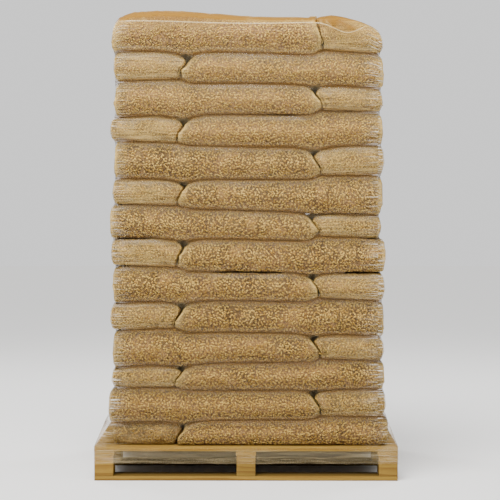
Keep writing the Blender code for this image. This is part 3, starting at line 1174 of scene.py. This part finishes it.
def choose_pellets(sack, place, pick):
    """The centre, three directions and length of each pellet under one sack's film."""
    places, normals = scatter(sack.data, pick)
    seen = shows(places, normals, place)
    places, normals = places[seen], normals[seen]
    kept = spread_out(places, SPACING)
    places, normals = places[kept], normals[kept]
    count = len(places)
    direction = pick.normal(size=(count, 3))
    direction = unit_rows(direction - (direction * normals).sum(1)[:, None] * normals)
    direction = unit_rows(direction + normals * pick.normal(0.0, TILT, count)[:, None])
    side = unit_rows(np.cross(normals, direction))
    up = np.cross(direction, side)
    length = pick.uniform(SHORTEST, LONGEST, count)
    # under round film a long pellet has to lie deeper than a short one
    sink = PELLET_RADIUS + 0.0004 + 7.0 * length**2 + pick.uniform(0.0, UNEVEN, count)
    centre = places - normals * sink[:, None]
    under = under_film(sack, centre, direction, length)
    return [part[under] for part in (centre, direction, side, up, length)]


# %% Lay the pellets


def lay_pellets(name, sack, place, bed):
    """One mesh of the pellets under a sack's film and the bed below them, and the number of pellets."""
    pick = np.random.default_rng(int(sum(ord(ch) * (i + 1) for i, ch in enumerate(name))))
    centre, direction, side, up, length = choose_pellets(sack, place, pick)
    count = len(centre)
    stretch = np.stack([length, np.ones(count), np.ones(count)], 1)
    rod = pellet_points[None, :, :] * stretch[:, None, :]
    points = centre[:, None, :] + rod[:, :, :1] * direction[:, None, :]
    points = points + rod[:, :, 1:2] * side[:, None, :] + rod[:, :, 2:3] * up[:, None, :]
    start = (np.arange(count) * len(pellet_points))[:, None, None]
    sides = (np.array(pellet_sides)[None] + start).reshape(-1, 4)
    ends = (np.array(pellet_ends)[None] + start).reshape(-1, PELLET_SIDES)
    bed_points, bed_faces = bed
    shift = count * len(pellet_points)
    all_points = np.concatenate([points.reshape(-1, 3), bed_points])
    all_faces = sides.tolist() + ends.tolist() + (bed_faces + shift).tolist()
    mesh = bpy.data.meshes.new(name)
    mesh.from_pydata(all_points.tolist(), [], all_faces)
    smooth = np.ones(len(all_faces), bool)
    smooth[len(sides):len(sides) + len(ends)] = False
    mesh.polygons.foreach_set("use_smooth", smooth)
    slots = np.zeros(len(all_faces), np.int32)
    slots[len(sides) + len(ends):] = 1
    mesh.polygons.foreach_set("material_index", slots)
    obj = bpy.data.objects.new(name, mesh)
    bpy.context.scene.collection.objects.link(obj)
    tone = np.zeros(len(all_points))
    tone[:shift] = np.repeat(pick.random(count), len(pellet_points))
    give(obj, "tone", tone)
    give(obj, "shade", shade_in_sack(all_points, place))
    return obj, count


pellet_pieces, total = {}, 0
for name, (sack, place) in sacks.items():
    obj, count = lay_pellets(name.replace("sack", "pellets"), sack, place, bed_parts[name])
    pellet_pieces[name] = obj
    total += count
print("pellets:", total, "triangles:", total * (4 * PELLET_SIDES - 4))

# %% [markdown]
# ## What the pellets are made of
#
# Pellets are pressed from pine and spruce sawdust. They are matt to silky, light tan to honey brown, and
# each rod has its own tone. The press leaves fine dark cracks across them. The bed between them is the
# same wood in deep shade.

# %% Pellet wood
pellet_wood, tree, shader = new_material("pressed_softwood_pellet")
tone = add_node(tree, "ShaderNodeAttribute", attribute_name="tone")
tones = add_node(tree, "ShaderNodeValToRGB", None, {"Fac": tone.outputs["Fac"]})
set_stops(tones.color_ramp, {0.0: "#B08539", 0.45: "#CBA352", 1.0: "#E0BB64"})
coord = add_node(tree, "ShaderNodeTexCoord")
# specks and cracks, about 2 mm apart
specks = add_node(
    tree, "ShaderNodeTexNoise", {"Scale": 420.0, "Detail": 3.0, "Roughness": 0.65},
    {"Vector": coord.outputs["Object"]},
)
speck_tone = add_node(
    tree, "ShaderNodeMapRange", {"From Min": 0.3, "From Max": 0.7, "To Min": 0.80, "To Max": 1.12},
    {"Value": specks.outputs["Fac"]},
)
wood = add_node(
    tree, "ShaderNodeVectorMath", None,
    {0: tones.outputs["Color"], "Scale": speck_tone.outputs["Result"]}, operation="SCALE",
)
tree.links.new(in_shade(tree, wood.outputs["Vector"]), shader.inputs["Base Color"])
bump = add_node(
    tree, "ShaderNodeBump", {"Strength": 0.3, "Distance": 0.0005}, {"Height": specks.outputs["Fac"]}
)
tree.links.new(bump.outputs["Normal"], shader.inputs["Normal"])
shader.inputs["Roughness"].default_value = 0.62
shader.inputs["Specular IOR Level"].default_value = 0.12
print("nodes in", pellet_wood.name, ":", len(tree.nodes))

# %% Pellets of the bed
bed_wood, tree, shader = new_material("pellets_in_shade")
coord = add_node(tree, "ShaderNodeTexCoord")
# cells the size of a pellet's end and side, 9 mm
cells = add_node(
    tree, "ShaderNodeTexVoronoi", {"Scale": 110.0, "Randomness": 1.0}, {"Vector": coord.outputs["Object"]},
    feature="F1",
)
cell_tone = add_node(tree, "ShaderNodeValToRGB", None, {"Fac": cells.outputs["Distance"]})
set_stops(cell_tone.color_ramp, {0.15: "#AC7F40", 0.75: "#6A4822"})
tree.links.new(in_shade(tree, cell_tone.outputs["Color"]), shader.inputs["Base Color"])
bump = add_node(
    tree, "ShaderNodeBump", {"Strength": 0.8, "Distance": 0.004}, {"Height": cells.outputs["Distance"]},
    invert=True,
)
tree.links.new(bump.outputs["Normal"], shader.inputs["Normal"])
shader.inputs["Roughness"].default_value = 0.7
print("nodes in", bed_wood.name, ":", len(tree.nodes))

# %% Cover the pellets
for obj in pellet_pieces.values():
    obj.data.materials.append(pellet_wood)
    obj.data.materials.append(bed_wood)
    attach(obj, "root")
print("pieces of pellets:", len(pellet_pieces))

# %% [markdown]
# ## Clear sack film
#
# The sacks are polyethylene film, 0.1 mm thick. It is clear but a little milky, shines softly, and turns
# whiter where it is creased or seen at a grazing angle. The material is mostly transparent: a low alpha
# that rises at grazing angles, with fine wrinkles in the bump.

# %% Helpers for both films


def film_shader(name, tint, roughness, grazing_share):
    """A thin clear film: its material, node tree and shader, and the grazing part of its alpha."""
    material, tree, shader = new_material(name)
    shader.inputs["Base Color"].default_value = colour(tint)
    shader.inputs["Roughness"].default_value = roughness
    shader.inputs["IOR"].default_value = 1.51
    facing = add_node(tree, "ShaderNodeLayerWeight", {"Blend": 0.3})
    grazing = add_node(
        tree, "ShaderNodeMath", {1: grazing_share}, {0: facing.outputs["Facing"]}, operation="MULTIPLY"
    )
    return material, tree, shader, grazing


def add_up(tree, parts, limit):
    """Adds values, each times its own factor, and keeps the sum below a limit."""
    total = None
    for value, factor in parts:
        links = {0: value} if total is None else {0: value, 2: total}
        step = add_node(tree, "ShaderNodeMath", {1: factor, 2: 0.0}, links, operation="MULTIPLY_ADD")
        total = step.outputs["Value"]
    return add_node(tree, "ShaderNodeMath", {1: limit}, {0: total}, operation="MINIMUM").outputs["Value"]


# %% Sack film
SACK_TINT = "#E3BE70"


def clear_sack_film(name, shine):
    """Sack film. shine is how strongly it mirrors the lamps."""
    material, tree, shader, grazing = film_shader(name, SACK_TINT, 0.28, 0.08)
    shader.inputs["Specular IOR Level"].default_value = shine
    coord = add_node(tree, "ShaderNodeTexCoord")
    # creases some 25 mm apart
    creases = add_node(
        tree, "ShaderNodeTexNoise", {"Scale": 38.0, "Detail": 4.0, "Roughness": 0.6, "Distortion": 0.8},
        {"Vector": coord.outputs["Object"]},
    )
    milky = add_node(
        tree, "ShaderNodeMapRange", {"From Min": 0.48, "From Max": 0.75, "To Min": 0.02, "To Max": 0.07},
        {"Value": creases.outputs["Fac"]},
    )
    # the film is milkier in the upper layers
    high = add_node(tree, "ShaderNodeSeparateXYZ", None, {"Vector": coord.outputs["Object"]})
    by_height = add_node(
        tree, "ShaderNodeMapRange", {"From Min": 0.15, "From Max": 1.8, "To Min": 0.75, "To Max": 1.35},
        {"Value": high.outputs["Z"]},
    )
    weld = add_node(tree, "ShaderNodeAttribute", attribute_name="weld")
    # beside the weld the film is gathered into level creases, 6 mm apart and some 120 mm long
    level = add_node(
        tree, "ShaderNodeMapping", {"Scale": (8.0, 8.0, 160.0)}, {"Vector": coord.outputs["Object"]}
    )
    pleats = add_node(
        tree, "ShaderNodeTexNoise", {"Scale": 1.0, "Detail": 3.0, "Roughness": 0.6, "Distortion": 0.5},
        {"Vector": level.outputs["Vector"]},
    )
    pleat_white = add_node(
        tree, "ShaderNodeMapRange", {"From Min": 0.46, "From Max": 0.68, "To Min": 0.10, "To Max": 0.36},
        {"Value": pleats.outputs["Fac"]},
    )
    pleated = add_node(
        tree, "ShaderNodeMath", None, {0: pleat_white.outputs["Result"], 1: weld.outputs["Fac"]},
        operation="MULTIPLY",
    )
    # slack: on the top sacks slack film on the crown, on the others a painted highlight across the upper
    # belly
    slack = add_node(tree, "ShaderNodeAttribute", attribute_name="slack")
    fin = add_node(tree, "ShaderNodeAttribute", attribute_name="fin")
    # the weld's fin is folded down over the lower part of the end
    fin_white = add_node(
        tree, "ShaderNodeMapRange", {"From Min": 0.40, "From Max": 0.62, "To Min": 0.12, "To Max": 0.50},
        {"Value": pleats.outputs["Fac"]},
    )
    fin_share = add_node(
        tree, "ShaderNodeMath", None, {0: fin_white.outputs["Result"], 1: fin.outputs["Fac"]},
        operation="MULTIPLY",
    )
    loose = add_node(tree, "ShaderNodeAttribute", attribute_name="loose")
    # along the load's upper edge the film is loose and doubled, and looks thick and amber there
    slope = add_node(tree, "ShaderNodeLayerWeight", {"Blend": 0.5})
    slope_share = add_node(
        tree, "ShaderNodeMapRange", {"From Min": 0.2, "From Max": 0.7, "To Min": 0.48, "To Max": 0.90},
        {"Value": slope.outputs["Facing"]},
    )
    loose_share = add_node(
        tree, "ShaderNodeMath", None, {0: slope_share.outputs["Result"], 1: loose.outputs["Fac"]},
        operation="MULTIPLY",
    )
    lip = add_node(tree, "ShaderNodeAttribute", attribute_name="lip")
    milk = add_up(tree, [
        (milky.outputs["Result"], 1.0), (pleated.outputs["Value"], 0.85), (slack.outputs["Fac"], 0.10),
        (fin_share.outputs["Value"], 1.0), (lip.outputs["Fac"], 0.40),
    ], 0.9)
    milk_here = add_node(
        tree, "ShaderNodeMath", None, {0: milk, 1: by_height.outputs["Result"]}, operation="MULTIPLY"
    )
    haze = add_up(tree, [
        (grazing.outputs["Value"], 1.0), (milk_here.outputs["Value"], 1.0),
        (loose_share.outputs["Value"], 1.0),
    ], 0.95)
    tree.links.new(haze, shader.inputs["Alpha"])
    # the loose film on the very top lies on the pellets in a warm shade of its own
    tint = add_node(
        tree, "ShaderNodeMix", {"A": colour(SACK_TINT), "B": colour("#946A2A")},
        {"Factor": loose.outputs["Fac"]}, data_type="RGBA",
    )
    # painted shade: between the pale creases of an end, the grooves are darkened
    groove = add_node(
        tree, "ShaderNodeMapRange", {"From Min": 0.36, "From Max": 0.46, "To Min": 0.45, "To Max": 0.0},
        {"Value": pleats.outputs["Fac"]},
    )
    groove_share = add_node(
        tree, "ShaderNodeMath", None, {0: groove.outputs["Result"], 1: weld.outputs["Fac"]},
        operation="MULTIPLY",
    )
    # the film itself is in the same shade as the pellets behind it
    grooved = add_node(
        tree, "ShaderNodeMix", {"B": colour("#7A5A2A")},
        {"A": in_shade(tree, tint.outputs["Result"]), "Factor": groove_share.outputs["Value"]},
        data_type="RGBA",
    )
    tree.links.new(grooved.outputs["Result"], shader.inputs["Base Color"])
    bump = add_node(
        tree, "ShaderNodeBump", {"Strength": 0.5, "Distance": 0.003}, {"Height": creases.outputs["Fac"]}
    )
    tree.links.new(bump.outputs["Normal"], shader.inputs["Normal"])
    return material


# %% Cover the sacks
sack_film = clear_sack_film("clear_polyethylene_sack_film", 0.25)
# the loose film on the top sacks is doubled and matt
top_film = clear_sack_film("loose_polyethylene_sack_film", 0.07)

for name, (sack, place) in sacks.items():
    cover(sack, top_film if place["layer"] == LAYERS else sack_film)
    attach(sack, "root")
    node = f"layer_{place['layer']:02d}_" + ("cross_sack" if place["cross"] else "long_sacks")
    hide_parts(node)
print("sacks covered:", len(sacks))

# %% [markdown]
# ## Stretch film round the load
#
# The wrap is thin stretch film wound round the load many times under tension. It touches the bellies of
# the sacks, bridges the notches between them, and goes in a little between the layers. At the bottom it
# runs from the sacks out to the deck's edge and down over it, and ends in a gathered hem across the
# openings for the forks.
#
# Its shape can be found the way the film finds it. A grid of lines of sight comes in from all round and
# stops at the first sack. Sideways the film is tight, so it keeps the shallowest depth within reach. It is
# slacker up and down, so there it may sink some millimetres.

# %% Where the film's lines of sight start
FILM_STEP = 0.0135
HEM_Z = 0.068
# the lines start on four straight sides, joined by round corners with these centres
ARC_CENTRE = (0.520, 0.320)
ARC_RADIUS, ARC_STEPS = 0.130, 12


def film_lines():
    """Points round the load and their outward directions."""
    half_x, half_y = ARC_CENTRE
    spots, outward = [], []
    for corner, (sx, sy) in enumerate(((1, -1), (1, 1), (-1, 1), (-1, -1))):
        for k in range(ARC_STEPS + 1):
            angle = math.radians(-90 + 90 * corner + 90 * k / ARC_STEPS)
            direction = (math.cos(angle), math.sin(angle))
            spots.append((sx * half_x + ARC_RADIUS * direction[0], sy * half_y + ARC_RADIUS * direction[1]))
            outward.append(direction)
        nx, ny = math.cos(math.radians(90 * corner)), math.sin(math.radians(90 * corner))
        along = 2 * (half_y if corner % 2 == 0 else half_x)
        count = round(along / FILM_STEP)
        ax, ay = spots[-1]
        tx, ty = -ny, nx
        for k in range(1, count):
            spots.append((ax + tx * along * k / count, ay + ty * along * k / count))
            outward.append((nx, ny))
    return np.array(spots), np.array(outward)


spots, outward = film_lines()
print("lines round the load:", len(spots))

# %% Find how deep the film lies
# the rows lie closer together in the hem, where the folds are fine
HEM_STEP, TOP_ROW = 0.0042, 1.852
heights = np.concatenate([
    np.arange(HEM_Z, DECK_TOP - 0.002, HEM_STEP), np.arange(DECK_TOP, TOP_ROW, FILM_STEP),
])
all_points, all_faces = [], []
for sack, _ in sacks.values():
    start = len(all_points)
    all_points += points_of(sack.data).tolist()
    all_faces += [[v + start for v in face.vertices] for face in sack.data.polygons]
stack_tree = BVHTree.FromPolygons(all_points, all_faces)
# a line looks no further in than this, in metres
DEEP = 0.16
sack_depth = np.full((len(spots), len(heights)), DEEP)
for i, (spot, direction) in enumerate(zip(spots, outward)):
    inward = Vector((-direction[0], -direction[1], 0.0))
    for j, z in enumerate(heights):
        hit = stack_tree.ray_cast(Vector((spot[0], spot[1], z)), inward, DEEP)
        if hit[0] is not None:
            sack_depth[i, j] = hit[3]
print("share of lines that met a sack:", round(float((sack_depth < DEEP).mean()), 3))

# %% Find how deep the pallet's sides lie


def depth_of_sides(axis, half):
    """How deep two sides of the pallet lie on each line. Lines along a side never meet it."""
    slope = np.abs(outward[:, axis])
    reach = (np.abs(spots[:, axis]) - half) / np.maximum(slope, 1e-6)
    return np.where(slope > 1e-6, reach, -9.0)


pallet_depth = np.maximum(depth_of_sides(0, HALF_LENGTH), depth_of_sides(1, HALF_DEPTH))
print("pallet's sides lie", round(float(pallet_depth.max()), 3), "m deep at most")

# %% Let the film bridge notches and settle


def pass_over(grid, reach, pick):
    """The least or greatest value within reach on both sides, going round the load."""
    result = grid
    for step in range(-reach, reach + 1):
        result = pick(result, np.roll(grid, step, 0))
    return result


def soften(grid, times, axis):
    """Evens out neighbouring values: round the load on axis 0, up and down on axis 1."""
    for _ in range(times):
        before, after = np.roll(grid, 1, axis), np.roll(grid, -1, axis)
        if axis == 1:
            before[:, 0], after[:, -1] = grid[:, 0], grid[:, -1]
        grid = 0.5 * grid + 0.25 * (before + after)
    return grid


# the tight film spans notches of up to eight cells, and stays clear of the sacks and of the deck's edge
BRIDGED = 4
OFF_SACK, OFF_DECK = 0.0014, 0.0009
film_depth = pass_over(sack_depth, BRIDGED, np.minimum)
film_depth = pass_over(film_depth, BRIDGED, np.maximum)
film_depth = soften(soften(film_depth, 2, 0), 1, 1)
film_depth = np.minimum(film_depth, sack_depth) - OFF_SACK
# from the deck's edge the film runs straight up to the lowest sacks
SHOULDER_Z = 0.268
shoulder = int(np.argmin(np.abs(heights - SHOULDER_Z)))
on_deck = pallet_depth - OFF_DECK
for j, z in enumerate(heights):
    if z <= DECK_TOP:
        film_depth[:, j] = on_deck
    elif j < shoulder:
        share = (z - DECK_TOP) / (heights[shoulder] - DECK_TOP)
        straight = on_deck + (film_depth[:, shoulder] - on_deck) * share
        film_depth[:, j] = np.minimum(film_depth[:, j], straight)
print("film between", round(float(film_depth.min()), 3), "and", round(float(film_depth.max()), 3), "m deep")

# %% [markdown]
# The hem below the deck is gathered: the film is bunched into three or four flat folds that run round the
# pallet, and between the blocks it is drawn in a little. The film's upper edge lies just below the top of
# the load. It isn't level, and at one front corner it runs down and up again.

# %% Gather the hem
FOLD_HEIGHT, FOLD_DEPTH, DRAWN_IN = 0.0155, 0.0016, 0.004
# half the length of the middle block, and the length of an opening beside it, in metres
HALF_BLOCK, OPENING = 0.04, 0.48
run = np.arange(len(spots)) * FILM_STEP
in_opening = np.sin(math.pi * np.clip((np.abs(spots[:, 0]) - HALF_BLOCK) / OPENING, 0, 1))
long_side = np.abs(outward[:, 0]) < 0.2
wavy = 0.9 * np.sin(run * 4.1) + 0.5 * np.sin(run * 11.0 + 2)
gather = FOLD_DEPTH * (0.4 + 0.6 * np.sin(run * 6.3 + 1) ** 2)
hem_rows = np.nonzero(heights < DECK_TOP - 0.012)[0]
for j in hem_rows:
    fold = np.sin(2 * math.pi * (heights[j] - HEM_Z) / FOLD_HEIGHT + wavy)
    film_depth[:, j] += DRAWN_IN * np.where(long_side, in_opening, 0) - gather * (1 + fold)
print("rows in the hem:", len(hem_rows))

# %% Find the film's upper edge
near_top = int(np.argmin(np.abs(heights - 1.75)))
on_load = spots - outward * film_depth[:, near_top, None]
edge = wrap_edge(on_load[:, 0], on_load[:, 1]) + 0.004 * np.sin(run * 3.1) + 0.003 * np.sin(run * 8.3 + 1)
print("upper edge from", round(float(edge.min()), 3), "to", round(float(edge.max()), 3), "m")

# %% Bend a grid round the load
columns, rows = len(spots), len(heights) - 1
nothing_selected()
bpy.ops.mesh.primitive_grid_add(x_subdivisions=columns, y_subdivisions=rows, size=1.0)
wrap = bpy.context.object
wrap.name = "clear_stretch_film"
grid = points_of(wrap.data)
i = np.rint((grid[:, 0] + 0.5) * columns).astype(int)
j = np.rint((grid[:, 1] + 0.5) * rows).astype(int)
around = i % columns
z = heights[j]
# rows near the top are pressed together so that the last one lies on the edge
PRESSED_FROM = 1.5
squeeze = (edge[around] - PRESSED_FROM) / (heights[-1] - PRESSED_FROM)
z = np.where(z > PRESSED_FROM, PRESSED_FROM + (z - PRESSED_FROM) * squeeze, z)
depth = np.zeros(len(grid))
for column in range(columns):
    chosen = around == column
    depth[chosen] = np.interp(z[chosen], heights, film_depth[column])
points = np.column_stack([spots[around] - outward[around] * depth[:, None], z])
set_points(wrap.data, points)
print("points of the film:", len(points))

# %% Mark what the stretch film does where
at_corner = np.minimum(np.abs(outward[:, 0]), np.abs(outward[:, 1])) > 0.05
near_corner = soften(pass_over(at_corner[:, None].astype(float), 2, np.maximum), 12, 0)[:, 0]
give(wrap, "gathered", near_corner[around])
give(wrap, "hem", smoothstep(0.130, 0.118, z))
# between the deck's edge and the sacks the film stands off, most where it is gathered at the corners
stands_off = np.minimum(sack_depth, 0.15)[around, j] - film_depth[around, j]
past_the_load = smoothstep(0.548, 0.562, np.abs(points[:, 0])) * (0.35 + 0.65 * near_corner[around])
tent = smoothstep(0.006, 0.022, stands_off) * smoothstep(0.30, 0.26, z) * smoothstep(0.128, 0.138, z)
give(wrap, "tent", tent * past_the_load)
give(wrap, "rim", (j == rows).astype(float))
shade, painted_seam_shade = np.ones(len(points)), np.zeros(len(points))
for number in range(1, LAYERS):
    layer = {"layer": number}
    share = height_in_sack(points, layer)
    shade = np.where((share > 0) & (share < 1), shade_in_sack(points, layer), shade)
    below_seam = seam_height(number, points[:, 0], points[:, 1]) - points[:, 2]
    to_joint = np.abs(points[:, 0] - ends_of(number)[1])
    # the dark corner beside each joint stays open to view
    notch = smoothstep(0.026, 0.004, to_joint) * smoothstep(0.016, 0.003, np.abs(below_seam - 0.007))
    # painted shade: a brown haze on the film over each seam, left out at the joints' corners
    veil = smoothstep(0.019, 0.005, np.abs(below_seam)) * (1 - 0.95 * notch)
    painted_seam_shade = np.maximum(painted_seam_shade, veil)
give(wrap, "shade", shade)
give(wrap, "seam", painted_seam_shade)
print("share of points over a seam:", round(float((painted_seam_shade > 0).mean()), 3))

# %% Close the film and lay out its flat pattern
uv = wrap.data.uv_layers.active.data
flat_uv = np.zeros(len(uv) * 2)
uv.foreach_get("uv", flat_uv)
flat_uv = flat_uv.reshape(-1, 2) * [columns * FILM_STEP, heights[-1] - HEM_Z]
uv.foreach_set("uv", flat_uv.ravel())
only(wrap)
bpy.ops.object.mode_set(mode="EDIT")
bpy.ops.mesh.select_all(action="SELECT")
bpy.ops.mesh.remove_doubles(threshold=0.00005)
bpy.ops.object.mode_set(mode="OBJECT")
wrap.data.shade_smooth()
print("faces of the film:", len(wrap.data.polygons))

# %% [markdown]
# ## Stretch film's material
#
# Stretch film is blown polyethylene, 0.02 mm thick, and glossy because it is so smooth. Pulled tight it is
# nearly clear, with fine lines along the pull. Where it turns a corner or is gathered, many turns of it
# crease together and look white, and that white also stands in as a painted highlight for the film's
# glints. So the material is the sack film's again, thinner and smoother, and its alpha and colour read
# what was stored on the film: where it is gathered, hemmed, loose or over a seam, where it carries a
# painted shade.

# %% Stretch film's material
WRAP_TINT = "#E8CF9C"
stretch_film, tree, shader, grazing = film_shader("clear_stretch_wrap", WRAP_TINT, 0.18, 0.07)
shader.inputs["Specular IOR Level"].default_value = 0.35
flat = add_node(tree, "ShaderNodeUVMap", uv_map="UVMap")
# winding leaves fine lines along the pull, 4 mm apart and some 150 mm long
pulled = add_node(tree, "ShaderNodeMapping", {"Scale": (7.0, 250.0, 1.0)}, {"Vector": flat.outputs["UV"]})
lines = add_node(
    tree, "ShaderNodeTexNoise", {"Scale": 1.0, "Detail": 3.0, "Roughness": 0.6, "Distortion": 0.6},
    {"Vector": pulled.outputs["Vector"]},
)
thin_haze = add_node(
    tree, "ShaderNodeMapRange", {"From Min": 0.50, "From Max": 0.80, "To Min": 0.01, "To Max": 0.09},
    {"Value": lines.outputs["Fac"]},
)
# where the film turns a corner or is gathered, the lines become white creases, whose white is partly a
# painted highlight for the film's glints
gathered = add_node(tree, "ShaderNodeAttribute", attribute_name="gathered")
white = add_node(
    tree, "ShaderNodeMapRange", {"From Min": 0.51, "From Max": 0.66, "To Min": 0.0, "To Max": 0.85},
    {"Value": lines.outputs["Fac"]},
)
place = add_node(tree, "ShaderNodeTexCoord")
high = add_node(tree, "ShaderNodeSeparateXYZ", None, {"Vector": place.outputs["Object"]})
print("nodes in", stretch_film.name, "for its lines:", len(tree.nodes))

# %% Haze of the stretch film
# more turns of film lie on each other in the upper half
turns = add_node(
    tree, "ShaderNodeMapRange", {"From Min": 0.3, "From Max": 1.7, "To Min": 0.2, "To Max": 1.4},
    {"Value": high.outputs["Z"]},
)
thick_haze = add_node(
    tree, "ShaderNodeMath", None, {0: thin_haze.outputs["Result"], 1: turns.outputs["Result"]},
    operation="MULTIPLY",
)
over_sacks = add_node(
    tree, "ShaderNodeMapRange", {"From Min": 0.12, "From Max": 0.34, "To Min": 0.25, "To Max": 1.0},
    {"Value": high.outputs["Z"]},
)
crease_there = add_node(
    tree, "ShaderNodeMath", None, {0: white.outputs["Result"], 1: over_sacks.outputs["Result"]},
    operation="MULTIPLY",
)
crease = add_node(
    tree, "ShaderNodeMath", None, {0: crease_there.outputs["Value"], 1: gathered.outputs["Fac"]},
    operation="MULTIPLY",
)
hem = add_node(tree, "ShaderNodeAttribute", attribute_name="hem")
# the hem's folds are white too, but thinner
hem_lines = add_node(
    tree, "ShaderNodeMath", None, {0: white.outputs["Result"], 1: hem.outputs["Fac"]}, operation="MULTIPLY"
)
print("nodes with its creases:", len(tree.nodes))

# %% Seams, rim and colour of the stretch film
# painted shade: drawn across a seam, the film is given a brown haze that stands for the shade in the seam
seam = add_node(tree, "ShaderNodeAttribute", attribute_name="seam")
rim = add_node(tree, "ShaderNodeAttribute", attribute_name="rim")
# the upper edge curls over, and shows as a white line 5 mm wide
rim_share = add_node(
    tree, "ShaderNodeMapRange", {"From Min": 0.55, "From Max": 0.85, "To Min": 0.0, "To Max": 0.5},
    {"Value": rim.outputs["Fac"]},
)
tent = add_node(tree, "ShaderNodeAttribute", attribute_name="tent")
# between the deck's edge and the sacks the film is many turns thick, and takes the wood's tone
tone = add_node(
    tree, "ShaderNodeMix", {"A": colour(WRAP_TINT), "B": colour("#B8955A")},
    {"Factor": tent.outputs["Fac"]}, data_type="RGBA",
)
over_seam = add_node(
    tree, "ShaderNodeMix", {"B": colour("#745329")},
    {"A": in_shade(tree, tone.outputs["Result"]), "Factor": seam.outputs["Fac"]}, data_type="RGBA",
)
whitened = add_node(
    tree, "ShaderNodeMix", {"B": colour("#FFFDF8")},
    {"A": over_seam.outputs["Result"], "Factor": crease.outputs["Value"]}, data_type="RGBA",
)
tree.links.new(whitened.outputs["Result"], shader.inputs["Base Color"])
haze = add_up(tree, [
    (tent.outputs["Fac"], 0.38), (grazing.outputs["Value"], 1.0), (thick_haze.outputs["Value"], 1.0),
    (crease.outputs["Value"], 1.0), (hem.outputs["Fac"], 0.05), (hem_lines.outputs["Value"], 0.35),
    (seam.outputs["Fac"], 0.36), (rim_share.outputs["Result"], 1.0),
], 0.9)
tree.links.new(haze, shader.inputs["Alpha"])
bump = add_node(
    tree, "ShaderNodeBump", {"Strength": 0.5, "Distance": 0.0015}, {"Height": lines.outputs["Fac"]}
)
tree.links.new(bump.outputs["Normal"], shader.inputs["Normal"])
print("nodes in all:", len(tree.nodes))

# %% Cover the stretch film
cover(wrap, stretch_film)
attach(wrap, "root")
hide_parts("stretch_film")
print("materials in all:", len(bpy.data.materials))
